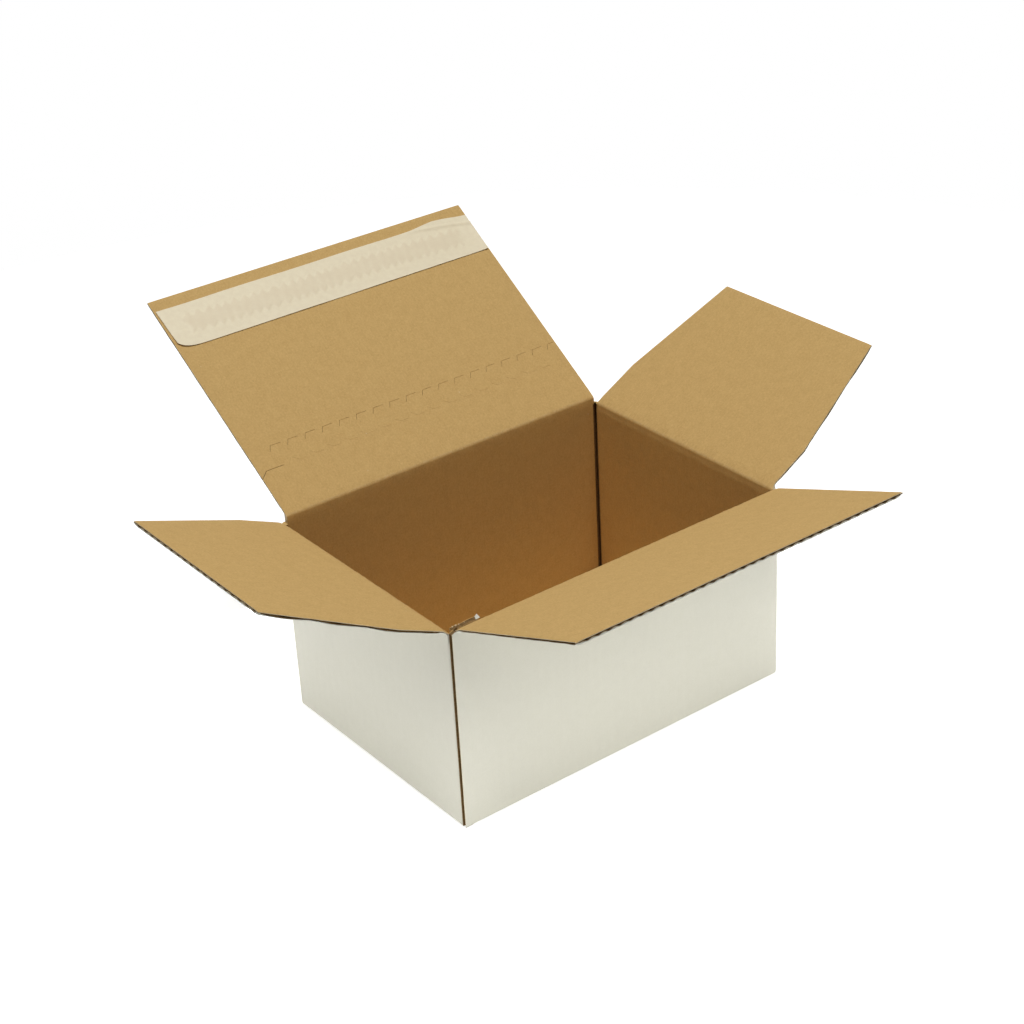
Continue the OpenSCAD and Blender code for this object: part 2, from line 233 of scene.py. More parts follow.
class Sheet:
    """Vertices with sheet coordinates and a mark from 0 to 1, and faces with a material each."""

    def __init__(self):
        self.points, self.uvs, self.marks, self.faces, self.mats = [], [], [], [], []

    def add(self, points, uvs, marks=None):
        first = len(self.points)
        self.points.extend(map(tuple, points))
        self.uvs.extend(map(tuple, uvs))
        self.marks.extend([0.0] * len(points) if marks is None else map(float, marks))
        return first

    def face(self, corners, mat):
        self.faces.append(tuple(int(c) for c in corners))
        self.mats.append(mat)

    def polygon(self, points, uvs, mat, flip=False):
        first = self.add(points, uvs)
        numbers = range(first, first + len(points))
        self.face(numbers[::-1] if flip else numbers, mat)

    def grid(self, points, uvs, mat, flip=False, marks=None):
        """points and uvs are rows x columns arrays, mat one material or one for each column of
        faces. Returns the vertex numbers as such an array."""
        rows, cols = points.shape[:2]
        mats = mat if isinstance(mat, list) else [mat] * (cols - 1)
        first = self.add(points.reshape(-1, 3), uvs.reshape(-1, 2),
                         None if marks is None else marks.ravel())
        index = np.arange(rows * cols).reshape(rows, cols) + first
        for r in range(rows - 1):
            for c in range(cols - 1):
                quad = [index[r, c], index[r, c + 1], index[r + 1, c + 1], index[r + 1, c]]
                self.face(quad[::-1] if flip else quad, mats[c])
        return index

    def stitch(self, a, b, mat, flip=False):
        """Joins two equally long runs of vertices with quads."""
        for i in range(len(a) - 1):
            quad = [a[i], a[i + 1], b[i + 1], b[i]]
            self.face(quad[::-1] if flip else quad, mat)

    def slab(self, top, bottom, uvs, top_mat, bottom_mat, rim_mat, marks=None):
        """A closed sheet between two grids, top seen from outside with rows going up the page."""
        upper = self.grid(top, uvs, top_mat, marks=marks)
        lower = self.grid(bottom, uvs, bottom_mat, flip=True, marks=marks)
        self.stitch(upper[0], lower[0], rim_mat, flip=True)
        self.stitch(upper[-1], lower[-1], rim_mat)
        self.stitch(upper[:, 0], lower[:, 0], rim_mat)
        self.stitch(upper[:, -1], lower[:, -1], rim_mat, flip=True)

    def build(self, name, materials, smooth_deg=35):
        mesh = bpy.data.meshes.new(name)
        mesh.from_pydata(self.points, [], self.faces)
        layer = mesh.uv_layers.new(name="sheet")
        loops = np.zeros(len(mesh.loops), np.int64)
        mesh.loops.foreach_get("vertex_index", loops)
        layer.data.foreach_set("uv", np.array(self.uvs, np.float32)[loops].ravel())
        mark = mesh.attributes.new("mark", "FLOAT", "POINT")
        mark.data.foreach_set("value", self.marks)
        mesh.polygons.foreach_set("material_index", self.mats)
        for m in materials:
            mesh.materials.append(m)
        mesh.update()
        made = new_object(name, mesh)
        smooth(made, smooth_deg)
        return made


def smooth(made, degrees):
    bm = bmesh.new()
    bm.from_mesh(made.data)
    limit = math.radians(degrees)
    for e in bm.edges:
        if len(e.link_faces) == 2:
            e.smooth = e.calc_face_angle(0) < limit
    for f in bm.faces:
        f.smooth = True
    bm.to_mesh(made.data)
    bm.free()


def spread(low, high, step):
    """Evenly spaced values from low to high, about step apart."""
    return np.linspace(low, high, max(2, int(round(abs(high - low) / step)) + 1))


# Flaps

def flute_crest(u):
    """1 where the medium touches the kraft liner, 0 where it touches the white one."""
    return 0.5 + 0.5 * np.cos(2 * np.pi * u / PITCH)


class Fold:
    """A flap's crease: its axis, directions and how far it stands open at rest."""

    def __init__(self, joint, cut):
        self.cut = cut
        self.origin = np.array(joint["pos_m"], float)
        self.out = np.array(cut["out"], float)
        self.along = np.cross(self.out, UP)
        self.open = math.radians(180 - joint["range_deg"][1])
        outer = HALF_Y if cut["out"][0] == 0 else HALF_X
        self.half = HALF_X if cut["out"][0] == 0 else HALF_Y
        self.inset = outer - abs(self.origin @ self.out)
        self.length = cut["length"] * MM
        self.flap_dir = (math.cos(self.open), math.sin(self.open))
        self.flap_normal = (-math.sin(self.open), math.cos(self.open))

    def sides(self, v):
        """Where the near and the far side lie at a distance from the crease."""
        rows = np.array(self.cut["sides"]) * MM
        near = -self.half + np.interp(v, rows[:, 0], rows[:, 1])
        far = self.half - np.interp(v, rows[:, 0], rows[:, 2])
        flare = self.cut.get("flare", 0) * MM * np.exp(-(v / FLARE_RUN) ** 2)
        return near, far + flare

    def grid_sides(self, v):
        """The same for rows that start below the crease, where a flap is as wide as at it."""
        return self.sides(np.maximum(v, 0))

    def side_share(self, u, v):
        """How near a place is to a cut side: 1 at the side, 0 a few millimetres in."""
        near, far = self.grid_sides(v)
        inside = np.maximum(np.minimum(u - near, far - u), 0)
        return np.exp(-(inside / SIDE_RUN) ** 2) * np.clip(v / (1.5 * MM), 0, 1)

    def free_share(self, v):
        """How near a place is to the free edge."""
        return np.exp(-((self.length - v) / FREE_RUN) ** 2)

    def swell(self, v):
        """How far a liner's inner face swells at the free edge."""
        return FREE_SWELL * self.free_share(v)

    def kraft_press(self, u, v):
        """How far the kraft face is pressed in, by the die at the edges and along the crease."""
        crushed = self.cut["crush"] * MM * np.exp(-(v / CRUSH_RUN) ** 2)
        return self.side_share(u, v) * SIDE_KRAFT + self.free_share(v) * FREE_KRAFT + crushed

    def white_press(self, u, v):
        """How far the white face is pressed in. A side that runs across the flutes opens and
        shuts with them, and so does the free edge."""
        near, far = self.grid_sides(v)
        side = np.where(u - near < far - u, near, far)
        low, high = self.cut["press"]
        amount = (low + (high - low) * flute_crest(side)) * MM
        root = np.exp(-(np.maximum(v - 2 * MM, 0) / (5 * MM)) ** 2)
        amount = ROOT_PRESS * root + amount * (1 - root)
        amount = amount * (0.9 + 0.06 * np.sin(v / (2.3 * MM)) + 0.06 * np.sin(v / (0.9 * MM) + 2))
        free = FREE_WHITE + FREE_PINCH * flute_crest(u) ** 0.8
        total = self.side_share(u, v) * amount + self.free_share(v) * free
        room = BOARD - 2 * LINER - 0.1 * MM - self.kraft_press(u, v)
        return np.minimum(total, room)

    def place(self, u, y, z):
        """World points from distance along the crease, outward and up from the axis."""
        u, y, z = np.broadcast_arrays(u, y, z)
        return (self.origin + u[..., None] * self.along + y[..., None] * self.out
                + z[..., None] * UP)

    def lifted(self, u, rows, lift):
        """World points of profile rows that are lifted along the rows' normals."""
        return self.place(u, rows[:, 0][:, None] + lift * rows[:, 3][:, None],
                          rows[:, 1][:, None] + lift * rows[:, 4][:, None])

    def on_flap(self, u, v, h):
        """World points from distance along the crease, along the flap and off its plane."""
        u, v, h = np.broadcast_arrays(u, v, h)
        y = v * self.flap_dir[0] + h * self.flap_normal[0]
        z = v * self.flap_dir[1] + h * self.flap_normal[1]
        return self.place(u, y, z)

    def profile(self, h, radius, stops, arc=10):
        """Rows across the crease at distance h from the axis plane, each (y, z, v, normal y,
        normal z): up the wall, round an arc that touches the wall and the flap, and out along the
        flap to each of stops, which are distances from the crease."""
        wall_normal = np.array([-1.0, 0.0])
        normal = np.array(self.flap_normal)
        turn = math.pi / 2 - self.open
        middle = (wall_normal + normal) / np.linalg.norm(wall_normal + normal)
        centre = middle * (h - radius) / math.cos(turn / 2)
        start = math.atan2(wall_normal[1], wall_normal[0])
        rows = []
        touch = centre + radius * wall_normal
        for z in np.linspace(-JOIN_DROP, touch[1], 5)[:-1]:
            rows.append((-h, z, z, *wall_normal))
        for k in range(arc + 1):
            angle = start - turn * k / arc
            away = np.array([math.cos(angle), math.sin(angle)])
            p = centre + radius * away
            rows.append((*p, (k / arc - 0.5) * radius * turn, *away))
        direction = np.array(self.flap_dir)
        for v in stops:
            p = normal * h + direction * v
            rows.append((*p, v, *normal))
        return np.array(rows)


def crease_relief(u, v, seed):
    """Small dents where the liner is pressed into the flutes along a crease."""
    near = np.exp(-(v / (1.9 * MM)) ** 2)
    phase = 2 * np.pi * u / PITCH
    rough = np.sin(phase + seed) * 0.5 + np.sin(phase * 2.37 + 1.3 * seed) * 0.35
    rough = rough + np.sin(phase * 0.31 + 2.1 * seed) * 0.5
    return near * rough * 0.13 * MM


def bow(fold, u, v):
    """The slight curve of a flap, none at its crease."""
    x = u / fold.half
    reach = np.clip(v / fold.length, 0, 1)
    return fold.cut["bow"] * MM * reach * (0.6 * x * x - 0.5 + 0.3 * np.sin(2.1 * x + 0.7))


def across(half):
    """Places from side to side of a flap, -1 to 1, close together at its cut sides."""
    side = np.array([0, 0.25, 0.5, 0.8, 1.2, 1.7, 2.4, 3.4]) * MM / half
    middle = spread(-1 + 5 * MM / half, 1 - 5 * MM / half, PITCH / 5 / half)
    return np.concatenate([side - 1, middle, 1 - side[::-1]])


def flap_sheets(fold):
    """A flap's two liners with its crease: a sheet for the kraft one, and one for the white one."""
    kraft_h = BOARD - fold.inset
    white_h = -fold.inset
    root = np.array([2.2, 3, 4, 5.2]) * MM
    bends = np.array([row[0] for row in fold.cut["sides"][1:-1]]) * MM
    ends = fold.length - np.array([1.8, 1.3, 0.9, 0.55, 0.25, 0]) * MM
    stops = np.unique(np.concatenate([
        root, spread(8 * MM, fold.length - 5 * MM, 5 * MM), bends, ends,
    ]))
    cols = across(fold.half)
    seed = fold.cut["seed"]

    def layer(h, radius, relief, press):
        """Points, sheet coordinates and painted crease highlight of one face. press(u, v) is its lift
        off the sheet.
        """
        rows = fold.profile(h, radius, stops)
        near, far = fold.grid_sides(rows[:, 2])
        u = near[:, None] + (far - near)[:, None] * (cols[None, :] + 1) / 2
        v = np.broadcast_to(rows[:, 2][:, None], u.shape)
        lift = bow(fold, u, v) + crease_relief(u, v, seed) * relief + press(u, v)
        # Painted highlight: a pale band along the crease line, which the kraft colour takes from the
        # mark
        crease_highlight = np.exp(-((v - 0.4 * MM) / (0.9 * MM)) ** 2)
        return fold.lifted(u, rows, lift), np.stack([u + seed, v + seed * 0.3], -1), crease_highlight

    kraft_r = fold.cut["kraft_r"] * MM
    kraft, white = Sheet(), Sheet()
    top, uv, crease_highlight = layer(kraft_h, kraft_r, 1, lambda u, v: -fold.kraft_press(u, v))
    under, _, _ = layer(kraft_h - LINER, kraft_r - LINER, 1,
                        lambda u, v: -fold.kraft_press(u, v) - fold.swell(v))
    kraft.slab(top, under, uv, KRAFT, CORE, EDGE, crease_highlight)
    outer, uv, _ = layer(white_h, WHITE_R, 0, fold.white_press)
    inner, _, _ = layer(white_h + LINER, WHITE_R + LINER, 0,
                        lambda u, v: fold.white_press(u, v) + fold.swell(v))
    white.slab(inner, outer, uv + 0.37, CORE, WHITE, WHITE)
    return kraft, white


def clip_to_sides(bm, fold):
    """Cuts a flat sheet in the flap's plane (x along the crease, y away) to the flap's sides."""
    rows = fold.cut["sides"]
    for (v0, near0, far0), (v1, near1, far1) in zip(rows, rows[1:]):
        for sign, i0, i1 in ((-1, near0, near1), (1, far0, far1)):
            a = Vector((sign * (fold.half - i0 * MM), v0 * MM, 0))
            b = Vector((sign * (fold.half - i1 * MM), v1 * MM, 0))
            normal = Vector((b.y - a.y, a.x - b.x, 0)) * sign
            bmesh.ops.bisect_plane(
                bm, geom=bm.verts[:] + bm.edges[:] + bm.faces[:], plane_co=a, plane_no=normal,
                clear_outer=True, dist=1e-7,
            )


def medium_height(fold, u, v):
    """Heights of the white liner's inner face and of the medium's middle."""
    swell = fold.swell(v)
    low = LINER - fold.inset + fold.white_press(u, v) + swell
    high = BOARD - LINER - fold.inset - fold.kraft_press(u, v) - swell
    crest = flute_crest(u)
    middle = (low + MEDIUM / 2) * (1 - crest) + (high - MEDIUM / 2) * crest
    lift = bow(fold, u, v)
    return low + lift, middle + lift


def edge_fill(fold, sheet):
    """The frayed fibres that fill the flutes below the medium at the free edge."""
    v = fold.length - 0.1 * MM
    near, far = fold.sides(v)
    u = spread(near + 0.5 * MM, far - 0.5 * MM, PITCH / 12)
    points = np.array([fold.on_flap(u, v, h) for h in medium_height(fold, u, v)])
    sheet.grid(points, np.stack([points[..., 0] + points[..., 1], points[..., 2]], -1), EDGE)


def medium_mesh(fold, start):
    """The wavy sheet between the liners, from start to the free edge, as a closed sheet of its own
    thickness."""
    steps = 12
    n = int(fold.half / PITCH) + 1
    us = np.arange(-n * steps, n * steps + 1) * PITCH / steps
    vs = [*spread(start, fold.length - 2 * MM, 6 * MM), fold.length]
    bm = bmesh.new()
    grid = [[bm.verts.new((u, v, 0)) for u in us] for v in vs]
    for r in range(len(vs) - 1):
        for c in range(len(us) - 1):
            bm.faces.new((grid[r][c], grid[r][c + 1], grid[r + 1][c + 1], grid[r + 1][c]))
    clip_to_sides(bm, fold)
    u = np.array([vert.co.x for vert in bm.verts])
    v = np.array([vert.co.y for vert in bm.verts])
    for vert, place in zip(bm.verts, fold.on_flap(u, v, medium_height(fold, u, v)[1])):
        vert.co = Vector(place)
    bmesh.ops.recalc_face_normals(bm, faces=bm.faces[:])
    bm.normal_update()
    bmesh.ops.solidify(bm, geom=bm.faces[:], thickness=MEDIUM)
    return bm


def merge(bm, sheet, mat):
    """Adds a bmesh's faces to a sheet."""
    bm.verts.ensure_lookup_table()
    co = np.array([v.co[:] for v in bm.verts])
    first = sheet.add(co, np.stack([co[:, 0] + co[:, 1], co[:, 2]], -1))
    for f in bm.faces:
        sheet.face([v.index + first for v in f.verts], mat)
    bm.free()


def crease_core(fold, sheet, end):
    """The crushed board inside a crease, which closes the sight into the flutes at its two ends."""
    stops = [2.2 * MM, 3 * MM, 4.2 * MM, end]
    kraft_r = fold.cut["kraft_r"] * MM
    kraft_rows = fold.profile(BOARD - fold.inset - LINER, kraft_r - LINER, stops)
    white_rows = fold.profile(LINER - fold.inset, WHITE_R + LINER, stops)

    def face(rows, press):
        near, far = fold.grid_sides(rows[:, 2])
        crushed = rows[:, 2] < 3.5 * MM
        near_gap, far_gap = (
            np.where(crushed & closed, 0.12, 1.6) * MM for closed in fold.cut["closed"])
        u = np.stack([near + near_gap, near + 3.4 * MM, far - 3.4 * MM, far - far_gap], 1)
        v = np.broadcast_to(rows[:, 2][:, None], u.shape)
        return fold.lifted(u, rows, press(u, v))

    top = face(kraft_rows, lambda u, v: -fold.kraft_press(u, v))
    low = face(white_rows, fold.white_press)
    uv = np.broadcast_to(np.array([0.1, 0.1]), top.shape[:2] + (2,))
    sheet.slab(top, low, uv, CORE, CORE, EDGE)


# Tear strip and self-seal strip

def bent_stroke(points, width):
    """Outline of a bent cut from its middle line."""
    line = [Vector(p) for p in points]
    ways = [(b - a).normalized() for a, b in zip(line, line[1:])]
    normals = [Vector((-w.y, w.x)) for w in ways]
    turns = [normals[0], *[(a + b).normalized() for a, b in zip(normals, normals[1:])], normals[-1]]
    half = width / 2
    return [p + n * half for p, n in zip(line, turns)] + [
        p - n * half for p, n in reversed(list(zip(line, turns)))]


def tear_cutter(fold):
    """All the tear strip's cuts as one mesh of upright prisms across the lid."""
    strokes = [(GRIP_CUT, GRIP_WIDTH)]
    for row in (FAR_ROW, NEAR_ROW):
        for k in range(row["count"]):
            x = row["start"] + k * CUT_PITCH
            hook = (x + row["hook"][0], row["v"] + row["hook"][1])
            strokes.append(([hook, (x, row["v"]), (x + row["length"], row["v"])], row["width"]))
    bm = bmesh.new()
    for points, width in strokes:
        flat = [(x * MM - fold.half, v * MM) for x, v in points]
        outline = bent_stroke(flat, width * MM)
        rings = []
        for h in (-4 * MM, 4 * MM):
            rings.append([bm.verts.new(fold.on_flap(np.float64(p.x), np.float64(p.y), h))
                          for p in outline])
        low, high = rings
        bm.faces.new(low)
        bm.faces.new(high[::-1])
        for i in range(len(low)):
            j = (i + 1) % len(low)
            bm.faces.new((low[j], low[i], high[i], high[j]))
    bmesh.ops.recalc_face_normals(bm, faces=bm.faces[:])
    mesh = bpy.data.meshes.new("cutter")
    bm.to_mesh(mesh)
    bm.free()
    mesh.materials.append(None)
    return new_object("cutter", mesh)


def cut_out(made, cutter):
    """Takes the cutter out of a mesh for good."""
    step = made.modifiers.new("cut", "BOOLEAN")
    step.operation = "DIFFERENCE"
    step.solver = "EXACT"
    step.object = cutter
    graph = bpy.context.evaluated_depsgraph_get()
    mesh = bpy.data.meshes.new_from_object(made.evaluated_get(graph), depsgraph=graph)
    made.modifiers.clear()
    made.data = mesh


def join(parts, name):
    """One object from several meshes that share their materials."""
    first = parts[0]
    with bpy.context.temp_override(active_object=first, selected_editable_objects=parts,
                                   object=first, selected_objects=parts):
        bpy.ops.object.join()
    first.name = name
    return first


def glue_share(u, v):
    """How much hot melt lies under a place of the tape: a dense band with loops along both sides."""
    away = v - GLUE_MID - 0.5 * MM * np.sin(u / (23 * MM))
    phase = 2 * np.pi * (u - 0.35 * away) / GLUE_PITCH
    wobble = 0.8 * np.sin(u / (9.1 * MM) + 1) + 0.5 * np.sin(u / (3.7 * MM))
    loops = 0.5 + 0.6 * np.sin(phase + wobble + 1.6 * (away > 0))
    reach = GLUE_CORE + (GLUE_TIP - GLUE_CORE) * loops
    body = np.clip((reach - np.abs(away)) / (1.3 * MM) + 0.5, 0, 1)
    end = GLUE_END + 1.5 * MM * np.sin(away / (2 * MM))
    ends = np.clip((end - np.abs(u)) / (2.5 * MM), 0, 1)
    mottle = 0.8 + 0.12 * np.sin(phase + wobble) + 0.1 * np.sin(u / (5.3 * MM) + away / (1.9 * MM))
    return body * ends * mottle


def tape(fold, materials):
    """The release tape: it drapes over the hot melt, curls at its near left corner and lifts in
    a fold along its far right edge."""
    cols = spread(-TAPE_HALF, TAPE_HALF, 0.75 * MM)
    rows = spread(0, 1, 0.02)
    near = TAPE_NEAR + TAPE_CURL * np.exp(-((cols + TAPE_HALF) / (3.2 * MM)) ** 0.9)
    far_x = np.array([-TAPE_HALF, 66 * MM, 83.5 * MM, 91 * MM, TAPE_HALF])
    far = np.interp(cols, far_x, TAPE_FAR + np.array([0, 0, 1.5, 0.9, -1.5]) * MM)
    far = far + 0.12 * MM * np.sin(cols / (11 * MM))
    v = near[None, :] + (far - near)[None, :] * rows[:, None]
    slant = 1.1 * MM * (TAPE_FAR - v) / (TAPE_FAR - TAPE_NEAR)
    u = cols[None, :] + slant * np.clip(-cols / TAPE_HALF, 0, 1)[None, :]

    glue = glue_share(u, v)
    drape = GLUE_THICK * np.clip(glue * 1.3, 0, 1)
    waves = TAPE_WAVE * (np.sin(u / (8 * MM) + v / (5 * MM)) + np.sin(u / (13 * MM) - 2))
    calm = np.clip((TAPE_HALF + 2 * MM - np.abs(u)) / (8 * MM), 0, 1)
    from_corner = ((u + TAPE_HALF) / (9 * MM)) ** 2 + ((v - TAPE_NEAR) / (7 * MM)) ** 2
    corner = CORNER_LIFT * np.exp(-from_corner)
    edge = NEAR_LIFT * np.exp(-(v - near[None, :]) / (3 * MM))
    right = RIGHT_LIFT * np.clip((u - RIGHT_START) / (9 * MM), 0, 1) ** 2

    along = np.clip((u - RIDGE_START) / (TAPE_HALF - RIDGE_START), 0, 1)
    past = v - (TAPE_FAR - 0.8 * MM - RIDGE_DEPTH * along ** 1.6)
    crest = RIDGE_HEIGHT * np.exp(-(past / (1.1 * MM)) ** 2)
    ridge = np.clip(along * 3, 0, 1) * (crest + BEYOND_RIDGE * np.clip(past / (3 * MM), 0, 1))

    h = BOARD - fold.inset + bow(fold, u, v) + TAPE_GAP + drape + waves * calm
    h = h + corner + edge + right + ridge
    sheet = Sheet()
    sheet.slab(fold.on_flap(u, v, h + TAPE_THICK), fold.on_flap(u, v, h),
               np.stack([u, v], -1), 0, 0, 0, glue)
    return sheet.build("release_tape", materials, 40)


# Carton body

def corner_arc(cx, cy, start, stop, radius, n=8):
    angles = np.radians(np.linspace(start, stop, n + 1))
    return [(cx + radius * math.cos(a), cy + radius * math.sin(a)) for a in angles]


def edge_top(px):
    """Height of the front wall's cut edge at the seam, which rises towards its flap."""
    return CORNER_TOP + 0.6 * MM + 0.4 * (px + HALF_X)


def skin_top(px, py, side, folds):
    """Height at which a wall's skin ends: at its flap's sheet, or at a corner's cut top."""
    if side:
        return folds[side].origin[2] - JOIN_DROP
    if py < -HALF_Y + 0.5 * BOARD and px < -HALF_X + 3.05 * MM:
        return edge_top(px)
    return CORNER_TOP


def straight(path, p, q, side, root_p, root_q):
    """Adds points from p to q. The flap's crease starts root_p after p and ends root_q before q."""
    length = math.dist(p, q)
    step = 1e-6
    inside = spread(root_p + step, length - root_q - step, 4 * MM)
    for way in [0, root_p, *inside, length - root_q, length]:
        share = way / length
        on_crease = root_p < way < length - root_q
        path.append((p[0] + (q[0] - p[0]) * share, p[1] + (q[1] - p[1]) * share,
                     side if on_crease else None))


def outer_path():
    """Plan of the outer face from the front wall's cut edge round to the end of the glue tab,
    as (x, y, side), where side is the fold whose flap starts there, or None at a corner."""
    x, y, r, s = HALF_X, HALF_Y, FOLD_R, SEAM_R
    path = []
    straight(path, (-x + SEAM_IN, -y), (x - r, -y), "front_fold", 3 * MM - SEAM_IN, 3 * MM - r)
    path.extend((*p, None) for p in corner_arc(x - r, -y + r, -90, 0, r)[1:-1])
    straight(path, (x, -y + r), (x, y - r), "right_end_fold", 3 * MM - r, 4 * MM - r)
    path.extend((*p, None) for p in corner_arc(x - r, y - r, 0, 90, r)[1:-1])
    straight(path, (x - r, y), (-x + r, y), "lid_fold", 3.2 * MM - r, 3.2 * MM - r)
    path.extend((*p, None) for p in corner_arc(-x + r, y - r, 90, 180, r)[1:-1])
    straight(path, (-x, y - r), (-x, -y + BOARD + s), "left_end_fold", 4 * MM - r, 0.01 * MM)
    path.extend((*p, None) for p in corner_arc(-x + s, -y + BOARD + s, 180, 270, s)[1:])
    path.append((-x + TAB_WIDTH, -y + BOARD, None))
    return path


def inner_path():
    """Plan of the inner face, with a crevice at each folded corner."""
    x, y = HALF_X - BOARD, HALF_Y - BOARD
    front_g, front_d = CREVICES[1, -1]
    right_g, right_d = CREVICES[1, 1]
    left_g, left_d = CREVICES[-1, 1]
    seam_g, seam_d = SEAM_CREVICE
    root = 0.3 * MM
    path = []
    straight(path, (-x + seam_g, -y), (x - front_g, -y), "front_fold", root, root)
    path.append((x + front_d, -y - front_d, None))
    straight(path, (x, -y + front_g), (x, y - right_g), "right_end_fold", root, root)
    path.append((x + right_d, y + right_d, None))
    straight(path, (x - right_g, y), (-x + left_g, y), "lid_fold", root, root)
    path.append((-x - left_d, y + left_d, None))
    straight(path, (-x, y - left_g), (-x, -y + BOARD + seam_g), "left_end_fold", root, root)
    path.append((-x - seam_d, -y + BOARD, None))
    return path


def base_row(path, angle):
    """One row of the fold along the table: angle 90 degrees lies on the table, 0 is upright."""
    row = []
    for x, y, _ in path:
        dx = math.copysign(max(abs(x) - HALF_X + BASE_R, 0), x)
        dy = math.copysign(max(abs(y) - HALF_Y + BASE_R, 0), y)
        norm = math.hypot(dx, dy) or 1
        inset = BASE_R * (1 - math.cos(angle))
        lift = END_LIFT if abs(x) > HALF_X - 1e-6 else 0
        z = BASE_R * (1 - math.sin(angle)) + lift * math.sin(angle)
        row.append((x - inset * dx / norm, y - inset * dy / norm, z))
    return row


def rising_rows(path, folds, low, shares):
    """Rows over a path, at each share of the way from low up to where a wall's skin ends."""
    tops = [skin_top(*p, folds) for p in path]
    return [[(p[0], p[1], low + (top - low) * share) for p, top in zip(path, tops)]
            for share in shares]


def wall_skins(sheet, folds):
    """Outer and inner faces of the four walls."""
    def skin(path, rows, shift, mat, flip=False):
        points = np.array(rows)
        steps = [math.dist(a[:2], b[:2]) for a, b in zip(path, path[1:])]
        around = np.broadcast_to(np.cumsum([0.0, *steps]) + shift, points.shape[:2])
        sheet.grid(points, np.stack([around, points[..., 2]], -1), mat, flip)

    path = outer_path()
    base = [base_row(path, math.radians(90 * (1 - k / 5))) for k in range(6)]
    upright = rising_rows(path, folds, BASE_R, np.linspace(0, 1, 16)[1:])
    skin(path, base + upright, 5.0, WHITE)

    path = inner_path()
    # Painted shade: the two faces either side of the back-right crevice's apex take the dark medium
    # colour in place of kraft
    deep = [p[0] > HALF_X - BOARD + 1 * MM for p in path]
    mats = [CORE if a or b else KRAFT for a, b in zip(deep, deep[1:])]
    skin(path, rising_rows(path, folds, BOARD, np.linspace(0, 1, 18)), 7.0, mats, flip=True)


def seam(sheet):
    """The front wall's cut edge at the glued seam, with its open flute, and the top of that edge."""
    x0, y0, y1 = -HALF_X + SEAM_IN, -HALF_Y, -HALF_Y + BOARD
    deep = x0 + SEAM_FLUTE
    crest = (x0 + SEAM_CREST[0], y0 + SEAM_CREST[1])
    outer, inner = y0 + LINER, y1 - LINER
    # Painted shade: the inner liner's cut edge, against the tab, takes the dark medium colour in place
    # of a cut-edge colour
    strips = [
        ((x0, y0), (x0, outer), EDGE), ((x0, outer), (deep, outer), CORE),
        ((deep, outer), crest, CORE), (crest, (deep, inner), CORE),
        ((deep, inner), (x0, inner), CORE), ((x0, inner), (x0, y1), CORE),
    ]
    shares = spread(0, 1, 0.05)

    def column(p):
        return [(*p, SEAM_FOOT + (edge_top(p[0]) - SEAM_FOOT) * share) for share in shares]

    def strip(a, b, mat, flip=False):
        points = np.array([column(a), column(b)])
        sheet.grid(points, np.stack([points[..., 0], points[..., 2]], -1), mat, flip)

    for a, b, mat in strips:
        strip(a, b, mat)
    root = -HALF_X + 3 * MM
    strip((x0, outer), (root, outer), CORE, flip=True)
    strip((x0, y1), (root, y1), KRAFT, flip=True)
    for ya, yb, mat in ((y0, outer, WHITE), (outer, inner, CORE), (inner, y1, KRAFT)):
        points = np.array([[(x, y, edge_top(x)) for x in (x0, root)] for y in (ya, yb)])
        sheet.grid(points, points[..., :2], mat)


def glue_tab(sheet):
    """The left wall's tab, flat against the inside of the front wall."""
    inner, outer = -HALF_X + BOARD, -HALF_X + TAB_WIDTH
    outline = [(inner, TAB_FOOT), (outer, TAB_FOOT + TAB_SLOPE), (outer, TAB_TOP - TAB_SLOPE),
               (inner, TAB_TOP)]
    low, high = HALF_Y - 2 * BOARD, HALF_Y - BOARD - TOUCH
    plate(sheet, outline, low, high, KRAFT, WHITE, lambda p: (p[0], -p[2], p[1]))


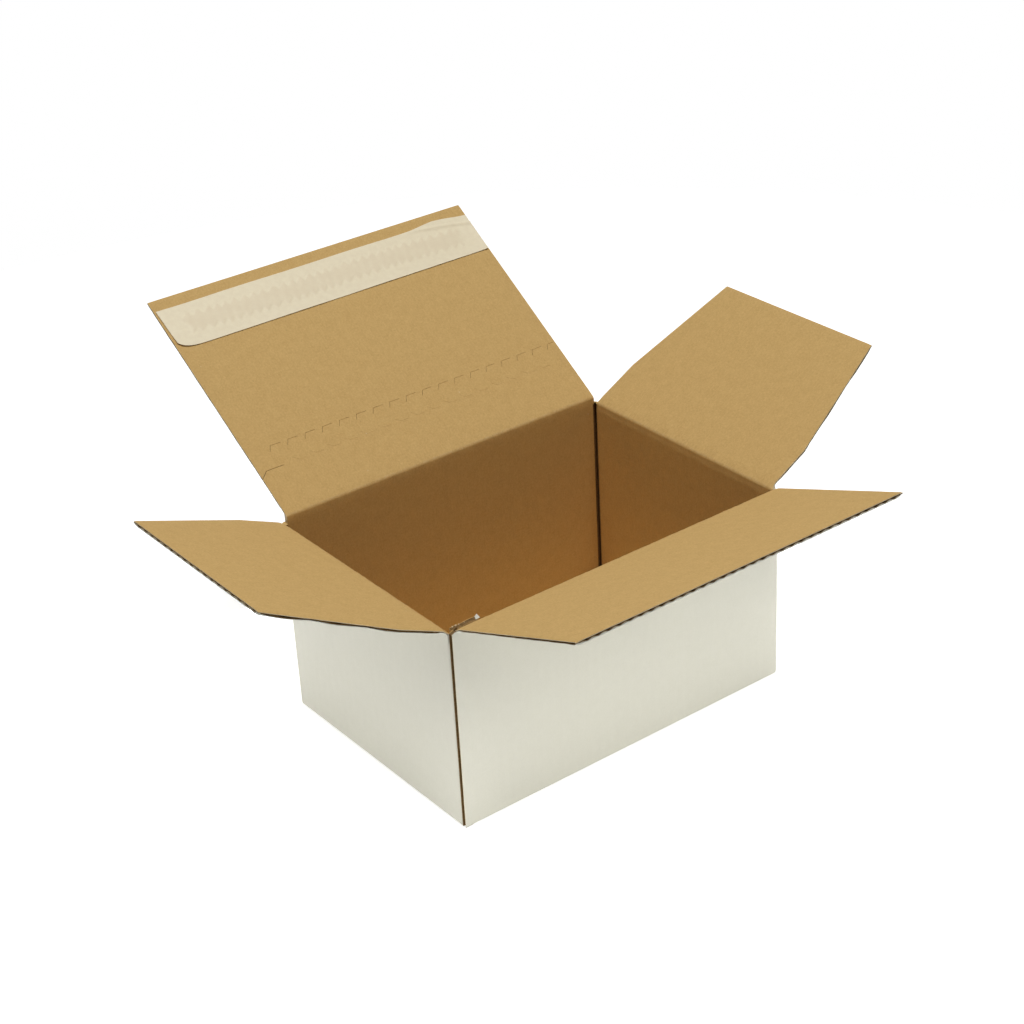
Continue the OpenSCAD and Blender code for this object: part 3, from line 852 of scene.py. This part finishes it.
def tab_top(materials):
    """The tab's upper edge, which stands a little above the front crease while the left flap is
    open: two liners with the wavy sheet between them, loose fibres and a torn white corner."""
    x0, x1 = -HALF_X + BOARD, -HALF_X + RIM_WIDTH
    y0, y1 = -HALF_Y + BOARD + 0.05 * MM, -HALF_Y + 2 * BOARD
    xs = spread(x0, x1, PITCH / 12)
    rim = RIM_TOP + 0.5 * MM * (xs - x0) / (x1 - x0) + 0.12 * MM * np.sin(xs / (1.3 * MM))
    foot = 0 * xs + TAB_TOP - 0.2 * MM
    fill, crest = rim - 0.35 * MM, rim - 0.2 * MM
    white_top = rim - 0.1 * MM
    wave = (y0 + y1) / 2 + (BOARD / 2 - LINER - MEDIUM / 2) * np.cos(2 * np.pi * xs / PITCH)
    front, back = wave - MEDIUM / 2, wave + MEDIUM / 2
    # Painted shade: the white liner's cut top, the liners' inner sides and the fill round the wavy
    # sheet take the dark medium colour; only the wavy sheet itself has that colour for real
    section = [
        (y0, foot, EDGE), (y0, white_top, CORE), (y0 + LINER, white_top, CORE),
        (y0 + LINER, fill, CORE), (front, fill, CORE), (front, crest, CORE), (back, crest, CORE),
        (back, fill, CORE), (y1 - LINER, fill, CORE), (y1 - LINER, rim, KRAFT), (y1, rim, KRAFT),
        (y1, foot, KRAFT),
    ]
    sheet = Sheet()
    runs = [np.stack([xs, y + 0 * xs, z], -1) for y, z, _ in section]
    for a, b, (_, _, mat) in zip(runs, runs[1:], section):
        points = np.array([a, b])
        sheet.grid(points, points[..., :2] + points[..., 2:], mat)
    for end in (0, -1):
        corners = [run[end] for run in runs]
        sheet.polygon(corners, [(p[1], p[2]) for p in corners], EDGE, flip=end == 0)

    def scrap(corners, mat):
        sheet.polygon(corners, [(p[0], p[1]) for p in corners], mat)

    for start, width, high in FIBRES:
        x = x0 + start * MM
        scrap([(x, y1 - 0.7 * MM, RIM_TOP), (x + width * MM, y1 - 0.5 * MM, RIM_TOP),
               (x + 0.7 * width * MM, y1, RIM_TOP + high * MM),
               (x, y1 - 0.1 * MM, RIM_TOP + 0.7 * high * MM)], EDGE)
    scrap([(x1 - 1.6 * MM, y0, RIM_TOP + 0.3 * MM), (x1 + 1.2 * MM, y0 + 0.3 * MM, RIM_TOP + 0.2 * MM),
           (x1 + 0.8 * MM, y1, RIM_TOP + 1.4 * MM),
           (x1 - 0.8 * MM, y1 - 0.6 * MM, RIM_TOP + 0.7 * MM)], WHITE)
    return sheet.build("tab_top", materials)


def plate(sheet, outline, low, high, low_mat, high_mat, place=lambda p: p):
    """A flat panel with upright cut edges from a list of (x, y), counter-clockwise."""
    n = len(outline)
    points = [place((x, y, low)) for x, y in outline] + [place((x, y, high)) for x, y in outline]
    first = sheet.add(points, [(x + 9, y) for x, y in outline] * 2)
    sheet.face([first + i for i in range(n)][::-1], low_mat)
    sheet.face([first + n + i for i in range(n)], high_mat)
    for i in range(n):
        j = (i + 1) % n
        sheet.face([first + i, first + j, first + n + j, first + n + i], EDGE)


def bottom(sheet):
    """Two large hooked panels below and the two end panels on top of them."""
    x, y, g, h, r = HALF_X - BOARD, HALF_Y, BOTTOM_GAP / 2, HOOK, HOOK_RUN / 2
    inner = y - BASE_R
    front = [(-x, -inner), (x, -inner), (x, -h - g), (r - g, -h - g), (-r - g, h - g), (-x, h - g)]
    for turn in (1, -1):
        plate(sheet, [(turn * a, turn * b) for a, b in front], 0, BOARD, WHITE, KRAFT)
    reach = HALF_X - MINOR_REACH
    side = HALF_Y - BOARD - MINOR_SIDE
    neck = x - MINOR_NECK
    left = [(-x, -side), (-neck, -side), (-reach, -MINOR_TIP / 2), (-reach, MINOR_TIP / 2),
            (-neck, side), (-x, side)]
    for turn in (1, -1):
        outline = [(turn * a, turn * b) for a, b in left]
        plate(sheet, outline, BOARD + TOUCH, 2 * BOARD, WHITE, KRAFT)


def corner_caps(sheet):
    """The cut tops of the corner folds between two flaps' slots."""
    def cap(outline):
        sheet.polygon([(a, b, CORNER_TOP) for a, b in outline], outline, KRAFT)

    x, y = HALF_X - BOARD, HALF_Y - BOARD
    root = 4 * MM
    for (sx, sy), (wide, deep) in CREVICES.items():
        arc = corner_arc(HALF_X - FOLD_R, HALF_Y - FOLD_R, 0, 90, FOLD_R)
        outline = [(HALF_X, HALF_Y - root), *arc, (HALF_X - root, HALF_Y), (HALF_X - root, y),
                   (x - wide, y), (x + deep, y + deep), (x, y - wide), (x, HALF_Y - root)]
        outline = [(sx * a, sy * b) for a, b in outline]
        cap(outline[::-1] if sx * sy < 0 else outline)
    tab_in = -x + 0.3 * MM
    cap([*corner_arc(-HALF_X + SEAM_R, -y + SEAM_R, 180, 270, SEAM_R), (tab_in, -y),
         (tab_in, -y + SEAM_R)])


# Materials

class Shader:
    """A material's node tree, with short ways to add and join nodes."""

    def __init__(self, name, roughness, specular=0.5):
        self.material = bpy.data.materials.new(name)
        self.material.use_nodes = True
        self.tree = self.material.node_tree
        self.bsdf = self.tree.nodes["Principled BSDF"]
        self.bsdf.inputs["Roughness"].default_value = roughness
        self.bsdf.inputs["Specular IOR Level"].default_value = specular

    def node(self, kind, **settings):
        made = self.tree.nodes.new(kind)
        for key, value in settings.items():
            setattr(made, key, value)
        return made

    def link(self, a, b):
        self.tree.links.new(a, b)

    def coordinates(self, scale=(1, 1, 1)):
        uv = self.node("ShaderNodeUVMap", uv_map="sheet")
        mapping = self.node("ShaderNodeMapping")
        mapping.inputs["Scale"].default_value = scale
        self.link(uv.outputs["UV"], mapping.inputs["Vector"])
        return mapping.outputs["Vector"]

    def mark(self):
        return self.node("ShaderNodeAttribute", attribute_name="mark").outputs["Fac"]

    def noise(self, scale, detail=3, roughness=0.6, stretch=(1, 1, 1)):
        made = self.node("ShaderNodeTexNoise")
        self.link(self.coordinates(stretch), made.inputs["Vector"])
        made.inputs["Scale"].default_value = scale
        made.inputs["Detail"].default_value = detail
        made.inputs["Roughness"].default_value = roughness
        return made.outputs["Fac"]

    def ramp(self, value, low, high, to_low=0.0, to_high=1.0):
        made = self.node("ShaderNodeMapRange")
        self.link(value, made.inputs["Value"])
        for name, number in (("From Min", low), ("From Max", high), ("To Min", to_low),
                             ("To Max", to_high)):
            made.inputs[name].default_value = number
        return made.outputs["Result"]

    def mix(self, factor, a, b):
        made = self.node("ShaderNodeMix", data_type="RGBA")
        self.put(factor, made.inputs["Factor"])
        self.put(a, made.inputs["A"])
        self.put(b, made.inputs["B"])
        return made.outputs["Result"]

    def put(self, value, place):
        if isinstance(value, bpy.types.NodeSocket):
            self.link(value, place)
        elif isinstance(value, tuple):
            place.default_value = (*value, 1.0)
        else:
            place.default_value = value

    def multiply(self, a, b):
        made = self.node("ShaderNodeMath", operation="MULTIPLY")
        self.link(a, made.inputs[0])
        self.put(b, made.inputs[1])
        return made.outputs[0]

    def finish(self, colour, *bumps):
        """Sets the colour and the bumps, which are (height socket, distance, strength)."""
        self.link(colour, self.bsdf.inputs["Base Color"])
        normal = None
        for height, distance, strength in bumps:
            made = self.node("ShaderNodeBump")
            made.inputs["Distance"].default_value = distance
            made.inputs["Strength"].default_value = strength
            self.link(height, made.inputs["Height"])
            if normal:
                self.link(normal, made.inputs["Normal"])
            normal = made.outputs["Normal"]
        if normal:
            self.link(normal, self.bsdf.inputs["Normal"])
        return self.material


def srgb(r, g, b):
    """Linear colour from 8-bit screen values."""
    return tuple((c / 12.92 if c <= 0.04045 else ((c + 0.055) / 1.055) ** 2.4)
                 for c in (r / 255, g / 255, b / 255))


def paper_grain(shader, base, dark, light, strength):
    """Mottled recycled fibre: soft clouds, fine grain and short streaks along the sheet."""
    cloud = shader.ramp(shader.noise(160, 3, 0.6), 0.38, 0.62)
    fine = shader.ramp(shader.noise(1000, 3, 0.75, (1, 0.8, 1)), 0.34, 0.66)
    streak = shader.ramp(shader.noise(600, 2, 0.6, (1, 0.3, 1)), 0.36, 0.64)
    colour = shader.mix(shader.ramp(cloud, 0, 1, 0, 0.35), base, dark)
    colour = shader.mix(shader.ramp(fine, 0, 1, 0, strength), colour, light)
    colour = shader.mix(shader.ramp(streak, 0, 1, 0, strength * 0.3), colour, dark)
    return colour, fine


def washboard(shader):
    """Ridges of the flutes showing faintly through a liner."""
    wave = shader.node("ShaderNodeTexWave", bands_direction="X")
    shader.link(shader.coordinates(), wave.inputs["Vector"])
    wave.inputs["Scale"].default_value = 2 * math.pi / PITCH / 20
    return wave.outputs["Fac"]


def kraft_material():
    """Brown liner with pale and dark flecks, and a painted highlight along a crease."""
    shader = Shader("kraft_liner", 0.85, 0.25)
    base, dark, light = srgb(209, 172, 108), srgb(192, 153, 91), srgb(229, 194, 131)
    colour, fine = paper_grain(shader, base, dark, light, 0.6)
    flecks = shader.node("ShaderNodeTexVoronoi")
    shader.link(shader.coordinates((1, 0.45, 1)), flecks.inputs["Vector"])
    flecks.inputs["Scale"].default_value = 420
    spot = shader.ramp(flecks.outputs["Distance"], 0.05, 0.11, 1, 0)
    pick = shader.node("ShaderNodeTexWhiteNoise")
    shader.link(flecks.outputs["Position"], pick.inputs["Vector"])
    pale = shader.ramp(pick.outputs["Value"], 0.985, 0.99)
    dusk = shader.ramp(pick.outputs["Value"], 0.03, 0.02)
    colour = shader.mix(shader.multiply(spot, pale), colour, srgb(232, 214, 172))
    dusky = shader.multiply(shader.multiply(spot, dusk), 0.5)
    colour = shader.mix(dusky, colour, srgb(150, 115, 66))
    # Painted highlight along each crease: paler in patches where the mark is high
    patches = shader.ramp(shader.noise(420, 3, 0.7, (1, 0.3, 1)), 0.4, 0.6)
    painted_highlight = shader.multiply(shader.mark(), patches)
    painted_highlight = shader.multiply(shader.multiply(painted_highlight, shader.mark()), 0.5)
    colour = shader.mix(painted_highlight, colour, srgb(226, 196, 142))
    return shader.finish(colour, (washboard(shader), 0.05 * MM, 0.4), (fine, 0.05 * MM, 0.5))


def white_material():
    """Pale outside liner."""
    shader = Shader("white_liner", 0.55, 0.35)
    base, dark, light = srgb(217, 215, 201), srgb(212, 210, 195), srgb(222, 220, 207)
    colour, fine = paper_grain(shader, base, dark, light, 0.5)
    return shader.finish(colour, (washboard(shader), 0.07 * MM, 0.5), (fine, 0.02 * MM, 0.4))


def raw_paper(name, scale, dark, light, depth, strength):
    """Paper without a finish: the medium, or a cut edge."""
    shader = Shader(name, 0.9, 0.2)
    grain = shader.ramp(shader.noise(scale, 3, 0.6), 0.3, 0.7)
    return shader.finish(shader.mix(grain, dark, light), (grain, depth, strength))


def core_material():
    return raw_paper("medium_paper", 700, srgb(116, 90, 56), srgb(140, 112, 72), 0.05 * MM, 0.5)


def edge_material():
    return raw_paper("cut_edge", 1400, srgb(225, 202, 160), srgb(235, 214, 176), 0.06 * MM, 0.6)


def tape_material():
    """Cream release paper, greyer where hot melt lies under it."""
    shader = Shader("release_tape", 0.5, 0.4)
    cloud = shader.ramp(shader.noise(260, 3, 0.6), 0.35, 0.65)
    colour = shader.mix(cloud, srgb(247, 235, 204), srgb(242, 229, 198))
    under = shader.multiply(shader.mark(), shader.ramp(cloud, 0, 1, 0.75, 1.0))
    colour = shader.mix(under, colour, srgb(237, 222, 191))
    return shader.finish(colour, (cloud, 0.02 * MM, 0.3))


def melt_material():
    shader = Shader("hot_melt", 0.35, 0.5)
    cloud = shader.noise(300, 2, 0.5)
    return shader.finish(shader.mix(cloud, srgb(214, 200, 166), srgb(222, 210, 180)))


# Scene

def background_rays(tree):
    """1 for the rays that show the background: from the camera, from a gloss or through glass."""
    path = tree.nodes.new("ShaderNodeLightPath")
    total = path.outputs["Is Camera Ray"]
    for name in ("Is Glossy Ray", "Is Transmission Ray"):
        both = tree.nodes.new("ShaderNodeMath")
        both.operation = "MAXIMUM"
        tree.links.new(total, both.inputs[0])
        tree.links.new(path.outputs[name], both.inputs[1])
        total = both.outputs[0]
    return total


def stage_scene():
    """A round pale floor, which the light brings to white at its rim, where the white world starts."""
    angles = np.linspace(0, 2 * np.pi, FLOOR_SIDES + 1)[:-1]
    rim = [(FLOOR_R * math.cos(a), FLOOR_R * math.sin(a), 0) for a in angles]
    floor = bpy.data.meshes.new("floor")
    floor.from_pydata(rim, [], [range(FLOOR_SIDES)])
    plane = new_object("floor", floor)
    plane.location.z = -TOUCH
    shader = Shader("floor_white", 0.9, 0.1)
    shader.bsdf.inputs["Base Color"].default_value = (0.92, 0.92, 0.92, 1)
    shader.bsdf.inputs["Emission Color"].default_value = (1, 1, 1, 1)
    glow = shader.multiply(background_rays(shader.tree), FLOOR_GLOW)
    shader.link(glow, shader.bsdf.inputs["Emission Strength"])
    floor.materials.append(shader.material)
    plane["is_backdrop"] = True


def softbox(name, place, target, size, power):
    """A plain rectangular lamp that the camera doesn't see."""
    lamp = bpy.data.lights.new(name, "AREA")
    lamp.shape = "RECTANGLE"
    lamp.size, lamp.size_y = size
    lamp.energy = power
    made = new_object(name, lamp)
    made.location = place
    aim = Vector(target) - Vector(place)
    made.rotation_mode = "QUATERNION"
    made.rotation_quaternion = aim.to_track_quat("-Z", "Y")
    made.visible_camera = False


def lights():
    """A large soft lamp overhead, a low strip before each wall and a white world behind it all."""
    world = bpy.data.worlds.new("studio")
    bpy.context.scene.world = world
    world.use_nodes = True
    tree = world.node_tree
    background = tree.nodes["Background"]
    background.inputs["Color"].default_value = (1, 1, 1, 1)
    strength = tree.nodes.new("ShaderNodeMapRange")
    strength.inputs["To Min"].default_value = WORLD_LIGHT
    strength.inputs["To Max"].default_value = 1.0
    tree.links.new(background_rays(tree), strength.inputs["Value"])
    tree.links.new(strength.outputs["Result"], background.inputs["Strength"])

    softbox("key", (-0.05, -0.17, 1.75), (0, 0, 0.1), (0.9, 0.9), 21.2)
    softbox("front_strip", (0.005, -0.19, 0.008), (0.005, -0.0775, 0.02), (0.4, 0.012), 0.17)
    softbox("left_strip", (-0.222, 0.005, 0.008), (-0.1095, 0.005, 0.02), (0.36, 0.012), 0.135)
    softbox("back_strip", (0, 0.19, 0.008), (0, 0.0775, 0.02), (0.4, 0.012), 0.2)
    softbox("right_strip", (0.222, 0, 0.008), (0.1095, 0, 0.02), (0.36, 0.012), 0.145)


def camera():
    """The photograph's view."""
    azimuth, elevation, roll = (math.radians(angle) for angle in VIEW_ANGLES)
    lens = bpy.data.cameras.new("camera")
    lens.sensor_width = SENSOR
    lens.lens = LENS
    lens.clip_start, lens.clip_end = 0.01, 50
    made = new_object("camera", lens)
    forward = Vector((-math.sin(azimuth) * math.cos(elevation),
                      math.cos(azimuth) * math.cos(elevation), -math.sin(elevation)))
    look = forward.to_track_quat("-Z", "Y").to_matrix() @ Matrix.Rotation(roll, 3, "Z")
    place = Vector(VIEW_PLACE) * MM
    made.matrix_world = Matrix.Translation(place) @ look.to_4x4()
    bpy.context.scene.camera = made


# Build

def flap_board(fold, materials):
    """A flap of open corrugated board with its crease, as one object."""
    start = 8 * MM
    kraft, white = flap_sheets(fold)
    core = Sheet()
    crease_core(fold, core, start)
    edge_fill(fold, core)
    merge(medium_mesh(fold, start - 2 * MM), core, CORE)
    parts = [part.build(fold.cut["body"], materials) for part in (kraft, white, core)]
    if fold.cut["body"] == "lid":
        cutter = tear_cutter(fold)
        for part in parts[:2]:
            cut_out(part, cutter)
        bpy.data.objects.remove(cutter)
    flap = join(parts, fold.cut["body"] + "_board")
    smooth(flap, 35)
    return flap


camera()
board = [kraft_material(), white_material(), core_material(), edge_material()]
folds = {j["name"]: Fold(j, CUTS[j["name"]]) for j in frame["joints"]}

# Each flap's board takes the place of its CAD node. The line halfway between its wall and its flap is
# worked out, but nothing uses it
for fold in folds.values():
    flap = flap_board(fold, board)
    bend = np.array([fold.flap_dir[0] * 0.5, fold.flap_dir[1] * 0.5 + 0.5])
    bend = bend / np.linalg.norm(bend)
    reach = 2.6 * MM
    low = fold.place(0.0, -bend[0] * reach, -bend[1] * reach)
    high = fold.place(0.0, bend[0] * reach, bend[1] * reach)
    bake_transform(flap)
    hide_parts(fold.cut["node"])

sheet = Sheet()
wall_skins(sheet, folds)
seam(sheet)
glue_tab(sheet)
bottom(sheet)
corner_caps(sheet)
carton = sheet.build("carton_board", board)
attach(carton, "carton")
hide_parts("carton_body")

edge = tab_top(board)
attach(edge, "carton")
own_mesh(edge)

# The release tape on the lid, in place of the CAD liner. A point on the lid's face is worked out, but
# nothing uses it
lid = folds["lid_fold"]
strip = tape(lid, [tape_material()])
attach(strip, "lid")
pressed_flat = lid.on_flap(0.0, 0.0, BOARD - lid.inset + 0.25 * MM)
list(lid.flap_normal)
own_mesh(strip)
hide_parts("release_liner")

# The hot melt keeps the shape of its CAD node
melt = frame["nodes"]["adhesive_strip"]
melt.data.materials.clear()
melt.data.materials.append(melt_material())

stage_scene()
lights()
bpy.context.scene.view_settings.view_transform = "Standard"

low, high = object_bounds()
